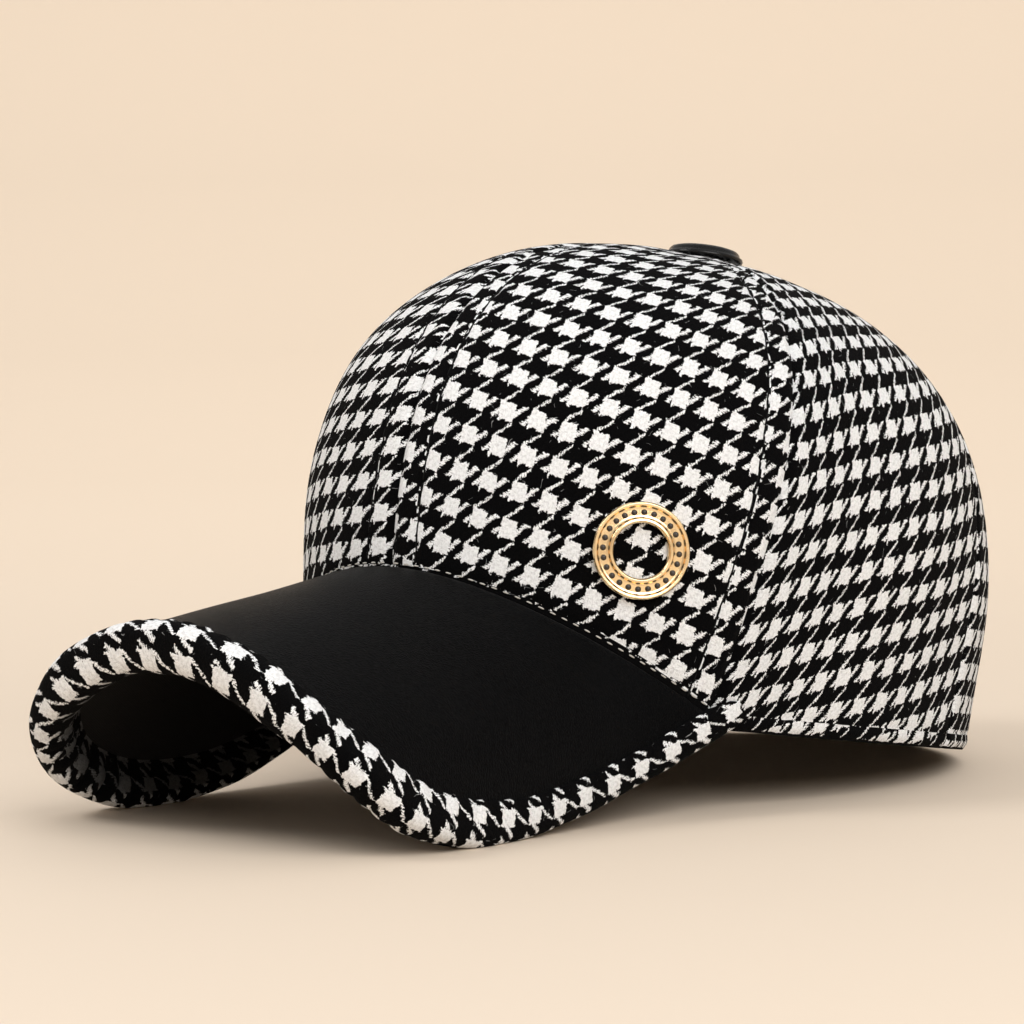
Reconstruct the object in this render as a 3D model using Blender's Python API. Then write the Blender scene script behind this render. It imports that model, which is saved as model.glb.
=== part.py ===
"""Six-panel baseball cap in houndstooth cloth with a curved, leather-topped visor.

The cap is drawn in its own frame first: the crown's lower edge lies in Z = 0, the front is at -Y
and the wearer's left is at +X. An empty then tips it back into its resting pose, where the two
low points of the curved visor and the back of the rim stand on Z = 0.
"""
import bpy
import bmesh
import numpy as np
from math import radians

# ---- crown: half width, front and back half lengths, height, and how far back the top lies
HALF_WIDTH = 0.0842
FRONT_LENGTH = 0.1065
BACK_LENGTH = 0.1030
CROWN_HEIGHT = 0.1318
TOP_SETBACK = 0.0100
BULGE = 0.046                       # share by which the wall swells at half height

# Meridian of the crown: 1 = height**rise + radius**turn, at its front, sides and back
MERIDIAN = {
    "front": {"rise": 3.89, "turn": 3.39},
    "side": {"rise": 5.03, "turn": 1.63},
    "back": {"rise": 1.62, "turn": 1.78},
}

# ---- panels: each runs between two seams; a seam swings back by its bow on the way up
SEAMS = {
    "centre_front": {"angle": 0.0, "bow": 0.0},
    "side": {"angle": 55.5, "bow": 13.0},
    "rear": {"angle": 109.5, "bow": 7.0},
    "centre_back": {"angle": 180.0, "bow": 0.0},
}
PANELS = [
    {"name": "front", "starts": "centre_front", "ends": "side", "wall": 0.0028, "columns": 9},
    {"name": "side", "starts": "side", "ends": "rear", "wall": 0.0024, "columns": 8},
    {"name": "back", "starts": "rear", "ends": "centre_back", "wall": 0.0024, "columns": 10},
]
PANEL_ROWS = 13
SEAM_BOW_POWER = 1.8                # the bow is taken up early on the way to the top
SEAM_GAP = 0.00032
SEAM_DIP = 0.0006                   # how deep the cloth is drawn in along a seam
SEAM_DIP_WIDTH = 0.0035
HEM_HEIGHT = 0.009
HEM_EXTRA = 0.0005                  # the turned-in hem makes the wall thicker
EYELET_RADIUS = 0.0030              # hole at the top that the button's shank goes through

# ---- visor: a flat board bent round an axis that slopes down to the front
VISOR_SLOPE = radians(15.9)
VISOR_ROOT_Y = -0.1100
VISOR_ROOT_Z = 0.0356
BEND_AT_ROOT = 15.80                # 1/m, curvature where the board meets the crown
BEND_GROWTH = 26.0                  # 1/m per metre forward
BEND_EASING = -498.0                # 1/m per metre forward squared
DEPTH_AT_ROOT = 0.851               # depth of the bend against a true circle
DEPTH_GROWTH = 2.556                # per metre forward
TIP_LIFT = 0.090                    # 1/m, how the board curls up towards its tip
BOARD_HALF_WIDTH = 0.1093
BOARD_BACK = -0.0475
BOARD_LENGTH = 0.1357
BOARD_SIDE_POWER = 4.11
BOARD_FRONT_POWER = 2.45
LEATHER = 0.0015
UNDERSIDE = 0.0017
LAYER_GAP = 0.0003
BOARD_BOTTOM = -LEATHER - LAYER_GAP - UNDERSIDE
BOARD_COLUMNS = 46
BOARD_ROWS = 8
CROWN_COVER = 0.0042                # the wall reaches this far below the visor's top face
CROWN_CLEARANCE = 0.0004
ROOT_SPREAD = 0.985                 # evens out the columns of the board along its root
JUNCTION_REACH = 0.118              # the junction line is followed this far across the board

# ---- binding: cloth rolled round the board's edge; inset is measured from the outer edge
BINDING_STATIONS = 78
SLOT_INSET = 0.0052
TAPER_LENGTH = 0.045                # the roll thins over this length towards the crown
TAPER_TO = 0.55
SLOT_FLOOR = BOARD_BOTTOM - 0.0004
BINDING_SECTION = [
    # inset,  height above the leather
    {"inset": 0.0100, "height": 0.0004},
    {"inset": 0.0098, "height": 0.0011},
    {"inset": 0.0078, "height": 0.0019},
    {"inset": 0.0050, "height": 0.0018},
    {"inset": 0.0023, "height": 0.0008},
    {"inset": 0.0006, "height": -0.0011},
    {"inset": 0.0000, "height": -0.0033},
    {"inset": 0.0008, "height": -0.0060},
    {"inset": 0.0029, "height": -0.0081},
    {"inset": 0.0057, "height": -0.0084},
    {"inset": 0.0086, "height": -0.0069},
    {"inset": 0.0100, "height": -0.0053},
    {"inset": 0.0100, "height": SLOT_FLOOR},
    {"inset": SLOT_INSET, "height": SLOT_FLOOR},
    {"inset": SLOT_INSET, "height": 0.0004},
]
CORNER_SWELL = 0.15                 # share by which the roll is fatter at the front corners
GATHER_DEPTH = 0.0007               # folds drawn together round the two front corners
GATHER_SPREAD = 0.030
GATHER_PITCH = 0.0075

# ---- button and ring ornament
BUTTON_SIDES = 32
BUTTON_PROFILE = [
    # radius,  height above the cloth
    {"radius": 0.0000, "height": -0.0036},
    {"radius": 0.0019, "height": -0.0036},
    {"radius": 0.0019, "height": 0.0000},
    {"radius": 0.0100, "height": 0.0000},
    {"radius": 0.0112, "height": 0.0005},
    {"radius": 0.0112, "height": 0.0013},
    {"radius": 0.0104, "height": 0.0018},
    {"radius": 0.0101, "height": 0.0024},
    {"radius": 0.0088, "height": 0.0033},
    {"radius": 0.0055, "height": 0.0038},
    {"radius": 0.0000, "height": 0.0039},
]
BUTTON_LIFT = 0.0004
RING_ANGLE = 43.0
RING_LEVEL = 0.334
RING_RADIUS = 0.0098
RING_SIDES = 40
RING_LIFT = 0.0003
RING_SECTION = [
    # out from the ring's middle line, height above the cloth
    {"out": -0.0027, "height": 0.0000},
    {"out": -0.0027, "height": 0.0016},
    {"out": -0.0018, "height": 0.0020},
    {"out": -0.0010, "height": 0.0013},
    {"out": 0.0010, "height": 0.0013},
    {"out": 0.0018, "height": 0.0020},
    {"out": 0.0027, "height": 0.0016},
    {"out": 0.0027, "height": 0.0000},
]

# ---- shading and resting pose
SHARP_ANGLE = radians(50)
REST_PITCH = radians(8.05)
SINK = 0.0006                       # how far the soft edges flatten where they rest


# ---------------------------------------------------------------- crown surface
def meridian_powers(angle):
    """Rise and turn exponents of the meridian at one angle round the crown."""
    front = max(np.cos(angle), 0.0) ** 2
    back = max(-np.cos(angle), 0.0) ** 2
    side = 1.0 - front - back
    share = {"front": front, "side": side, "back": back}
    rise = sum(share[k] * MERIDIAN[k]["rise"] for k in share)
    turn = sum(share[k] * MERIDIAN[k]["turn"] for k in share)
    return rise, turn


def reach(angle, level):
    """Radius of the crown at a level from 0 to 1, as a share of the radius at the rim."""
    rise, turn = meridian_powers(angle)
    level = np.clip(level, 0.0, 1.0)
    return (1.0 - level ** rise) ** (1.0 / turn) * (1.0 + BULGE * np.sin(np.pi * level))


def crown_point(angle, level):
    """Point of the crown's outer face; angle 0 is the front, +90 degrees the wearer's left."""
    r = reach(angle, level)
    length = FRONT_LENGTH if np.cos(angle) > 0 else BACK_LENGTH
    return np.array([HALF_WIDTH * np.sin(angle) * r,
                     -length * np.cos(angle) * r + TOP_SETBACK * (1.0 - r),
                     CROWN_HEIGHT * level])


def crown_normal(angle, level):
    """Outward unit normal of the crown's outer face."""
    step = 1e-4
    low = max(level - step, 0.0)
    high = min(level + step, 1.0 - 1e-7)
    up = crown_point(angle, high) - crown_point(angle, low)
    across = crown_point(angle + step, level) - crown_point(angle - step, level)
    normal = np.cross(across, up)
    return normal / np.linalg.norm(normal)


def flat_radius(angle, level):
    """Distance of a crown point from the upright line through the crown's top."""
    x, y, _ = crown_point(angle, level)
    return np.hypot(x, y - TOP_SETBACK)


def level_table(angle_at, start):
    """Levels from the start to the eyelet, with the distance walked along the wall to each."""
    rise, turn = meridian_powers(angle_at(1.0))
    last = bisect(lambda level: EYELET_RADIUS - flat_radius(angle_at(level), level), 0.5, 1.0)
    even_reach = (1.0 - np.linspace(0.0, 1.0, 160) ** turn) ** (1.0 / rise)
    levels = np.unique(np.concatenate([np.linspace(start, last, 60), even_reach]))
    levels = levels[(levels >= start) & (levels <= last)]
    points = np.array([crown_point(angle_at(level), level) for level in levels])
    walked = np.concatenate([[0.0], np.cumsum(np.linalg.norm(np.diff(points, axis=0), axis=1))])
    return levels, walked


def seam_angle(seam, level):
    """Angle of a seam at a level."""
    return radians(seam["angle"] + seam["bow"] * (1.0 - (1.0 - level) ** SEAM_BOW_POWER))


# ---------------------------------------------------------------- visor surface
def board_point(across, forward, height):
    """Flat board coordinates to the bent visor; height is measured from the leather's face."""
    def face(a, f):
        bend = BEND_AT_ROOT + BEND_GROWTH * f + BEND_EASING * f * f
        depth = DEPTH_AT_ROOT + DEPTH_GROWTH * f
        side = np.sin(a * bend) / bend
        drop = TIP_LIFT * f * f - depth * (1.0 - np.cos(a * bend)) / bend
        return np.array([side,
                         VISOR_ROOT_Y - f * np.cos(VISOR_SLOPE) - drop * np.sin(VISOR_SLOPE),
                         VISOR_ROOT_Z - f * np.sin(VISOR_SLOPE) + drop * np.cos(VISOR_SLOPE)])
    step = 1e-4
    along = face(across, forward - step) - face(across, forward + step)
    side = face(across + step, forward) - face(across - step, forward)
    normal = np.cross(side, along)
    return face(across, forward) + height * normal / np.linalg.norm(normal)


def outside_crown(point):
    """Distance of a point outside the crown's outer face, taken straight down below the rim."""
    x, y, z = point
    length = FRONT_LENGTH if y < 0 else BACK_LENGTH
    angle = np.arctan2(x / HALF_WIDTH, -y / length)
    radius = np.hypot(x / HALF_WIDTH, y / length)
    share = reach(angle, max(z / CROWN_HEIGHT, 0.0))
    return (radius - share) / radius * np.hypot(x, y)


def bisect(test, low, high):
    """Where the test turns from negative at the low end to positive at the high end."""
    for _ in range(40):
        middle = 0.5 * (low + high)
        if test(middle) < 0:
            low = middle
        else:
            high = middle
    return 0.5 * (low + high)


def edge_curve():
    """Outline of the flat board from one crown end to the other: distance, across, forward."""
    ease = np.linspace(-1.0, 1.0, 2401)
    turn = 0.5 * np.pi * np.sign(ease) * (1.0 - (1.0 - np.abs(ease)) ** 3)
    across = BOARD_HALF_WIDTH * np.sign(turn) * np.abs(np.sin(turn)) ** (2 / BOARD_SIDE_POWER)
    forward = BOARD_BACK + BOARD_LENGTH * np.abs(np.cos(turn)) ** (2 / BOARD_FRONT_POWER)
    run = np.concatenate([[0.0], np.cumsum(np.hypot(np.diff(across), np.diff(forward)))])
    return run - 0.5 * run[-1], across, forward


EDGE_RUN, EDGE_ACROSS, EDGE_FORWARD = edge_curve()
EDGE_HALF = float(EDGE_RUN[-1])


def edge_point(run, inset):
    """Flat board point at a distance along the outline and an inset from it."""
    def on_edge(r):
        return np.array([np.interp(r, EDGE_RUN, EDGE_ACROSS), np.interp(r, EDGE_RUN, EDGE_FORWARD)])
    step = 0.0015
    low, high = max(run - step, -EDGE_HALF), min(run + step, EDGE_HALF)
    ahead = on_edge(high) - on_edge(low)
    ahead = ahead / np.linalg.norm(ahead)
    inward = np.array([ahead[1], -ahead[0]])
    return on_edge(run) + inset * inward


def edge_reach(inset, height):
    """How far along the outline an inset line runs before it meets the crown."""
    def clearance(run):
        across, forward = edge_point(run, inset)
        return CROWN_CLEARANCE - outside_crown(board_point(across, forward, height))
    return bisect(clearance, 0.6 * EDGE_HALF, EDGE_HALF)


def root_forward(across, height, gap=CROWN_CLEARANCE):
    """Flat forward place where the board meets the crown, at a distance across."""
    def clearance(forward):
        return outside_crown(board_point(across, forward, height)) - gap
    return bisect(clearance, BOARD_BACK - 0.02, 0.03)


def junction_table():
    """Angle and height of the line where the visor's top face meets the crown."""
    angles, heights = [], []
    for across in np.linspace(0.0, JUNCTION_REACH, 40):
        forward = root_forward(across, 0.0, 0.0)
        x, y, z = board_point(across, forward, 0.0)
        angles.append(np.arctan2(x / HALF_WIDTH, -y / FRONT_LENGTH))
        heights.append(z)
    return np.array(angles), np.array(heights)


JUNCTION_ANGLES, JUNCTION_HEIGHTS = junction_table()


# ---------------------------------------------------------------- meshes
def closed_sheet(name, top, bottom, material):
    """Closed body between two grids of points of the same size."""
    rows, columns = top.shape[:2]
    bm = bmesh.new()
    upper = [[bm.verts.new(top[r, c]) for c in range(columns)] for r in range(rows)]
    lower = [[bm.verts.new(bottom[r, c]) for c in range(columns)] for r in range(rows)]
    for r in range(rows - 1):
        for c in range(columns - 1):
            bm.faces.new((upper[r][c], upper[r][c + 1], upper[r + 1][c + 1], upper[r + 1][c]))
            bm.faces.new((lower[r][c], lower[r + 1][c], lower[r + 1][c + 1], lower[r][c + 1]))
    for r in range(rows - 1):
        bm.faces.new((upper[r + 1][0], lower[r + 1][0], lower[r][0], upper[r][0]))
        bm.faces.new((upper[r][-1], lower[r][-1], lower[r + 1][-1], upper[r + 1][-1]))
    for c in range(columns - 1):
        bm.faces.new((upper[0][c], lower[0][c], lower[0][c + 1], upper[0][c + 1]))
        bm.faces.new((upper[-1][c + 1], lower[-1][c + 1], lower[-1][c], upper[-1][c]))
    return finished(name, bm, material)


def closed_tube(name, sections, material, ring=False):
    """Closed body lofted through sections with the same number of points; a ring joins its ends."""
    bm = bmesh.new()
    loops = [[bm.verts.new(point) for point in section] for section in sections]
    count = len(loops[0])
    pairs = list(zip(loops, loops[1:]))
    if ring:
        pairs.append((loops[-1], loops[0]))
    for near, far in pairs:
        for i in range(count):
            j = (i + 1) % count
            bm.faces.new((near[i], near[j], far[j], far[i]))
    if not ring:
        bm.faces.new(loops[0])
        bm.faces.new(loops[-1])
    return finished(name, bm, material)


def finished(name, bm, material):
    """Object from a closed bmesh, with its faces turned out and cut into triangles."""
    bmesh.ops.recalc_face_normals(bm, faces=bm.faces)
    if bm.calc_volume(signed=True) < 0:
        bmesh.ops.reverse_faces(bm, faces=bm.faces)
    bmesh.ops.triangulate(bm, faces=bm.faces, quad_method="SHORT_EDGE", ngon_method="EAR_CLIP")
    mesh = bpy.data.meshes.new(name)
    bm.to_mesh(mesh)
    bm.free()
    mesh.shade_smooth()
    mesh.set_sharp_from_angle(angle=SHARP_ANGLE)
    mesh.materials.append(material)
    obj = bpy.data.objects.new(name, mesh)
    bpy.context.collection.objects.link(obj)
    return obj


def finish(name, colour, roughness, metallic=0.0, sheen=0.0):
    """Principled material."""
    material = bpy.data.materials.new(name)
    material.use_nodes = True
    shader = material.node_tree.nodes["Principled BSDF"]
    shader.inputs["Base Color"].default_value = (*colour, 1.0)
    shader.inputs["Roughness"].default_value = roughness
    shader.inputs["Metallic"].default_value = metallic
    shader.inputs["Sheen Weight"].default_value = sheen
    return material


# ---------------------------------------------------------------- the cap's pieces
def panel_bottom(angle):
    """Level of the wall's lower edge: arched over the visor, level elsewhere."""
    height = np.interp(abs(angle), JUNCTION_ANGLES, JUNCTION_HEIGHTS)
    return max(height - CROWN_COVER, 0.0) / CROWN_HEIGHT


def panel_grid(panel):
    """Outer and inner grids of one crown panel on the wearer's left."""
    first, last = SEAMS[panel["starts"]], SEAMS[panel["ends"]]
    shares = np.linspace(0.0, 1.0, panel["columns"] - 1)
    edge = SEAM_DIP_WIDTH / (HALF_WIDTH * radians(last["angle"] - first["angle"]))
    shares = np.concatenate([[0.0, edge], shares[1:-1], [1.0 - edge, 1.0]])
    outer = np.zeros((PANEL_ROWS, len(shares), 3))
    inner = np.zeros_like(outer)
    for c, share in enumerate(shares):
        def angle_at(level, share=share):
            return (1 - share) * seam_angle(first, level) + share * seam_angle(last, level)
        levels, walked = level_table(angle_at, panel_bottom(angle_at(0.0)))
        top = walked[-1]
        for r, part in enumerate(np.linspace(0.0, 1.0, PANEL_ROWS)):
            level = float(np.interp(part * top, walked, levels))
            angle = angle_at(level)
            half_gap = 0.5 * SEAM_GAP / flat_radius(angle, level)
            angle += half_gap if c == 0 else (-half_gap if c == len(shares) - 1 else 0.0)
            dip = SEAM_DIP if c in (0, len(shares) - 1) else 0.0
            hem = HEM_EXTRA if part * top < HEM_HEIGHT else 0.0
            point = crown_point(angle, level)
            normal = crown_normal(angle, level)
            if part == 0.0:
                normal = np.array([normal[0], normal[1], 0.0]) / np.hypot(normal[0], normal[1])
            outer[r, c] = point - dip * normal
            inner[r, c] = point - (panel["wall"] + hem) * normal
    return outer, inner


def build_crown(material):
    """Six cloth panels that meet in seams under the button."""
    made = []
    for panel in PANELS:
        outer, inner = panel_grid(panel)
        for word, side in (("left", 1.0), ("right", -1.0)):
            mirror = [side, 1.0, 1.0]
            name = f"panel_{panel['name']}_{word}"
            made.append(closed_sheet(name, rested(outer * mirror), rested(inner * mirror), material))
    return made


def build_board_layer(name, top_height, bottom_height, material):
    """One layer of the visor board, from the crown to the slot in the binding."""
    parts = np.linspace(-1.0, 1.0, BOARD_COLUMNS)
    rows = np.linspace(0.0, 1.0, BOARD_ROWS)
    grids = []
    inset = SLOT_INSET + LAYER_GAP
    quarter = 0.5 * np.pi * ROOT_SPREAD
    for height in (top_height, bottom_height):
        limit = edge_reach(inset, height)
        tip = edge_point(limit, inset)
        grid = np.zeros((BOARD_ROWS, BOARD_COLUMNS, 3))
        for c, part in enumerate(parts):
            outer = edge_point(part * limit, inset)
            across = tip[0] * np.sin(quarter * part) / np.sin(quarter)
            root = np.array([across, root_forward(across, height)])
            for r, share in enumerate(rows):
                flat = (1 - share) * root + share * outer
                grid[r, c] = board_point(flat[0], flat[1], height)
        grids.append(grid)
    return closed_sheet(name, rested(grids[0][:, 1:-1]), rested(grids[1][:, 1:-1]), material)


def build_binding(material):
    """Cloth rolled round the board's edge, thinner towards the crown, gathered at the corners."""
    corner = float(EDGE_RUN[np.argmax(EDGE_ACROSS + EDGE_FORWARD)])
    limits = [edge_reach(point["inset"], point["height"]) for point in BINDING_SECTION]
    sections = []
    for part in np.linspace(-1.0, 1.0, BINDING_STATIONS):
        section = []
        for point, limit in zip(BINDING_SECTION, limits):
            run = part * limit
            thin = np.clip((EDGE_HALF - abs(run)) / TAPER_LENGTH, 0.0, 1.0)
            height = point["height"]
            near = np.exp(-((abs(run) - corner) / GATHER_SPREAD) ** 2)
            if height < SLOT_FLOOR:
                fat = (TAPER_TO + (1 - TAPER_TO) * thin) * (1 + CORNER_SWELL * near)
                height = BOARD_BOTTOM + (height - BOARD_BOTTOM) * fat
                if point["inset"] > SLOT_INSET:
                    height -= GATHER_DEPTH * near * np.cos(2 * np.pi * run / GATHER_PITCH)
            across, forward = edge_point(run, point["inset"])
            section.append(board_point(across, forward, height))
        sections.append(section)
    return closed_tube("visor_binding", rested(np.array(sections)), material)


def build_button(material):
    """Turned button, seated on the crown's top with its shank through the eyelet."""
    level = {angle: bisect(lambda v, a=angle: 0.1 - reach(a, v), 0.5, 1.0)
             for angle in (0.0, 0.5 * np.pi, np.pi)}
    front = crown_point(0.0, level[0.0])
    back = crown_point(np.pi, level[np.pi])
    left = crown_point(0.5 * np.pi, level[0.5 * np.pi])
    right = left * [-1.0, 1.0, 1.0]
    ahead = (front - back) / np.linalg.norm(front - back)
    side = (left - right) / np.linalg.norm(left - right)
    up = np.cross(ahead, side)
    up = up / np.linalg.norm(up) * np.sign(np.cross(ahead, side)[2])
    top = np.array([0.0, TOP_SETBACK, CROWN_HEIGHT])
    bm = bmesh.new()
    chain = [bm.verts.new((p["radius"], 0.0, p["height"])) for p in BUTTON_PROFILE]
    edges = [bm.edges.new(pair) for pair in zip(chain, chain[1:])]
    bmesh.ops.spin(bm, geom=chain + edges, cent=(0, 0, 0), axis=(0, 0, 1),
                   angle=2 * np.pi, steps=BUTTON_SIDES, use_merge=True)
    bmesh.ops.remove_doubles(bm, verts=bm.verts, dist=1e-6)
    for vert in bm.verts:
        x, y, z = vert.co
        vert.co = rested(top + side * x + ahead * y + up * (z + BUTTON_LIFT))
    return finished("top_button", bm, material)


def build_ring(material):
    """Plain ring ornament, bent to the front panel that carries it."""
    angle, level = radians(RING_ANGLE), RING_LEVEL
    step = 1e-3
    round_rate = np.linalg.norm(crown_point(angle + step, level) - crown_point(angle, level)) / step
    up_rate = np.linalg.norm(crown_point(angle, level + step) - crown_point(angle, level)) / step
    sections = []
    for k in range(RING_SIDES):
        turn = 2 * np.pi * k / RING_SIDES
        section = []
        for point in RING_SECTION:
            radius = RING_RADIUS + point["out"]
            a = angle + radius * np.cos(turn) / round_rate
            v = level + radius * np.sin(turn) / up_rate
            height = point["height"] + RING_LIFT
            section.append(crown_point(a, v) + height * crown_normal(a, v))
        sections.append(section)
    return closed_tube("badge_ring", rested(np.array(sections)), material, ring=True)


# ---------------------------------------------------------------- resting pose
def tipped(points):
    """Cap frame to a frame tipped back by the resting pitch, before it is set on the floor."""
    c, s = np.cos(REST_PITCH), np.sin(REST_PITCH)
    points = np.asarray(points, dtype=float)
    x, y, z = points[..., 0], points[..., 1], points[..., 2]
    return np.stack([x, y * c + z * s, -y * s + z * c], axis=-1)


def lowest_and_middle():
    """Lowest height of the rim's back, and the middle of the cap from front to back."""
    rim_back = tipped(crown_point(np.pi, 0.0))
    nose = min(BINDING_SECTION, key=lambda point: point["inset"])
    tip = tipped(board_point(0.0, BOARD_BACK + BOARD_LENGTH, nose["height"]))
    swell = max(tipped(crown_point(np.pi, v))[1] for v in np.linspace(0.0, 0.5, 101))
    return rim_back[2] + SINK, 0.5 * (tip[1] + swell)


FLOOR, MIDDLE = lowest_and_middle()


def rested(points):
    """Cap frame to the resting pose, with what would sink below the floor pressed flat."""
    moved = tipped(points) - [0.0, MIDDLE, FLOOR]
    moved[..., 2] = np.maximum(moved[..., 2], 0.0)
    return moved


def main():
    for old in list(bpy.data.objects):
        bpy.data.objects.remove(old, do_unlink=True)
    cloth = finish("houndstooth_cloth", (0.32, 0.31, 0.30), 0.92, sheen=0.3)
    leather = finish("black_leather", (0.012, 0.012, 0.013), 0.42)
    under = finish("black_underside", (0.010, 0.010, 0.010), 0.80)
    button = finish("black_gloss_button", (0.010, 0.010, 0.011), 0.22)
    gold = finish("gold_plate", (0.95, 0.72, 0.40), 0.25, metallic=1.0)
    pieces = build_crown(cloth)
    pieces.append(build_board_layer("visor_leather", 0.0, -LEATHER, leather))
    bottom = -LEATHER - LAYER_GAP
    pieces.append(build_board_layer("visor_underside", bottom, bottom - UNDERSIDE, under))
    pieces.append(build_binding(cloth))
    pieces.append(build_button(button))
    pieces.append(build_ring(gold))
    rest = bpy.data.objects.new("cap_at_rest", None)
    bpy.context.collection.objects.link(rest)
    for piece in pieces:
        piece.parent = rest


main()
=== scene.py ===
"""Houndstooth baseball cap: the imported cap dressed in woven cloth, leather, seams and stitches."""
from math import cos, pi, radians, sin

import bmesh
import bpy
import numpy as np
from mathutils import Matrix, Vector


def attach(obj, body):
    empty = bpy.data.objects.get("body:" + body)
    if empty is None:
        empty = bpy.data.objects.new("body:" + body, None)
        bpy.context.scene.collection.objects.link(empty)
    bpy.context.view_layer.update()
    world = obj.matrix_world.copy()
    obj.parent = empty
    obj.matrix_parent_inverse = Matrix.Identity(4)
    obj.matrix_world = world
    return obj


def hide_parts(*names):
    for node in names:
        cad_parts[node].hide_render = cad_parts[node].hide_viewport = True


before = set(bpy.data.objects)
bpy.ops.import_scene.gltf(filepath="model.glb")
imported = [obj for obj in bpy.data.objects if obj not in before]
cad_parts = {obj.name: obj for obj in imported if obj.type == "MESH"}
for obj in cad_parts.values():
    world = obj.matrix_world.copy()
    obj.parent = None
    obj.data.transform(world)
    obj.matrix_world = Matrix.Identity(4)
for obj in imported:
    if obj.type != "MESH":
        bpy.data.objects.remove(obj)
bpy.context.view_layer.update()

# ---------------------------------------------------------------- houndstooth cloth
# The crown and the visor's edge are one woollen twill. Four dark and four pale yarns take turns in
# warp and in weft, so the teeth are woven, not printed: every tooth is made of single yarns.
YARN_WIDTH = 0.001175
REPEAT = 8 * YARN_WIDTH
PALE_YARN = (0.85, 0.865, 0.88, 1.0)
DARK_YARN = (0.0024, 0.0024, 0.0027, 1.0)
PALE_SPREAD = 0.02
LINK_REACH = (0.19, 0.34)
COMB_REACH = (0.30, 0.64)
# painted shade: half the width of the dark line painted along a stitched groove
CREASE_SHADE_HALF_WIDTH = 0.00026
SLIVER = 0.00070
# painted shade: below this height over the fold, the cloth's edges that roll under, at the rim and above the
# visor, are coloured dark yarn
SHADED_EDGE_BELOW = -0.0034
FOLDED_STRIP_SHIFT = (3.3 * YARN_WIDTH, 2.6 * YARN_WIDTH)


def calculate(tree, operation, *values):
    """One Math node fed by sockets or numbers."""
    node = tree.nodes.new("ShaderNodeMath")
    node.operation = operation
    for socket, value in zip(node.inputs, values):
        if isinstance(value, bpy.types.NodeSocket):
            tree.links.new(value, socket)
        else:
            socket.default_value = value
    return node.outputs[0]


def noise(tree, vector, scale, detail=2.0, distortion=0.0, output="Fac"):
    """One Noise Texture node."""
    node = tree.nodes.new("ShaderNodeTexNoise")
    tree.links.new(vector, node.inputs["Vector"])
    node.inputs["Scale"].default_value = scale
    node.inputs["Detail"].default_value = detail
    node.inputs["Distortion"].default_value = distortion
    return node.outputs[output]


def own_map(tree, name):
    """One of the piece's own maps."""
    node = tree.nodes.new("ShaderNodeUVMap")
    node.uv_map = name
    return node.outputs[0]


def object_place(tree):
    """Place on the object, in metres."""
    return tree.nodes.new("ShaderNodeTexCoord").outputs["Object"]


def shift_vector(tree, vector, offset, amount):
    """The vector moved by a noise colour, centred on zero, times an amount."""
    centred = tree.nodes.new("ShaderNodeVectorMath")
    centred.operation = "SUBTRACT"
    tree.links.new(offset, centred.inputs[0])
    centred.inputs[1].default_value = (0.5, 0.5, 0.5)
    moved = tree.nodes.new("ShaderNodeVectorMath")
    moved.operation = "MULTIPLY_ADD"
    tree.links.new(centred.outputs[0], moved.inputs[0])
    moved.inputs[1].default_value = (amount, amount, 0.0)
    tree.links.new(vector, moved.inputs[2])
    return moved.outputs[0]


def blend_colours(tree, share, first, second, mode="MIX"):
    """Mix node for two colours, each a socket or four numbers."""
    node = tree.nodes.new("ShaderNodeMix")
    node.data_type = "RGBA"
    node.blend_type = mode
    for name, value in (("Factor", share), ("A", first), ("B", second)):
        socket = colour_socket = node.inputs[name]
        if socket.name in "AB":
            colour_socket = [s for s in node.inputs if s.name == socket.name and s.type == "RGBA"][0]
        if isinstance(value, bpy.types.NodeSocket):
            tree.links.new(value, colour_socket)
        else:
            colour_socket.default_value = value
    return [s for s in node.outputs if s.type == "RGBA"][0]


def widen_pale(tree, place):
    """Spreads the pale half of the repeat a little and draws the dark half in."""
    wave = calculate(tree, "COSINE", calculate(tree, "MULTIPLY", place, 0.25 * pi))
    return calculate(tree, "MULTIPLY_ADD", wave, -PALE_SPREAD, place)


def off_ply(tree, across):
    """Distance from the middle of the nearer of a yarn's two plies, from -1 to 1."""
    in_ply = calculate(tree, "FRACT", calculate(tree, "MULTIPLY", across, 2.0))
    return calculate(tree, "MULTIPLY_ADD", in_ply, 2.0, -1.0)


def pale_float(tree, along, across, reach):
    """1 on the floats of a pale yarn, whose middles are four yarns apart; the reach is that of a
    ply's edge and how much farther its middle goes."""
    ply_index = calculate(tree, "FLOOR", calculate(tree, "MULTIPLY", across, 2.0))
    ply = calculate(tree, "MULTIPLY_ADD", ply_index, 0.5, -0.25)
    from_middle = calculate(tree, "SUBTRACT", along, ply)
    wrapped = calculate(tree, "FLOORED_MODULO", calculate(tree, "ADD", from_middle, 2.0), 4.0)
    distance = calculate(tree, "ABSOLUTE", calculate(tree, "SUBTRACT", wrapped, 2.0))
    point = calculate(tree, "SUBTRACT", 1.0, calculate(tree, "ABSOLUTE", off_ply(tree, across)))
    return calculate(tree, "LESS_THAN", distance, calculate(tree, "MULTIPLY_ADD", point, reach[1], reach[0]))


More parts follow.
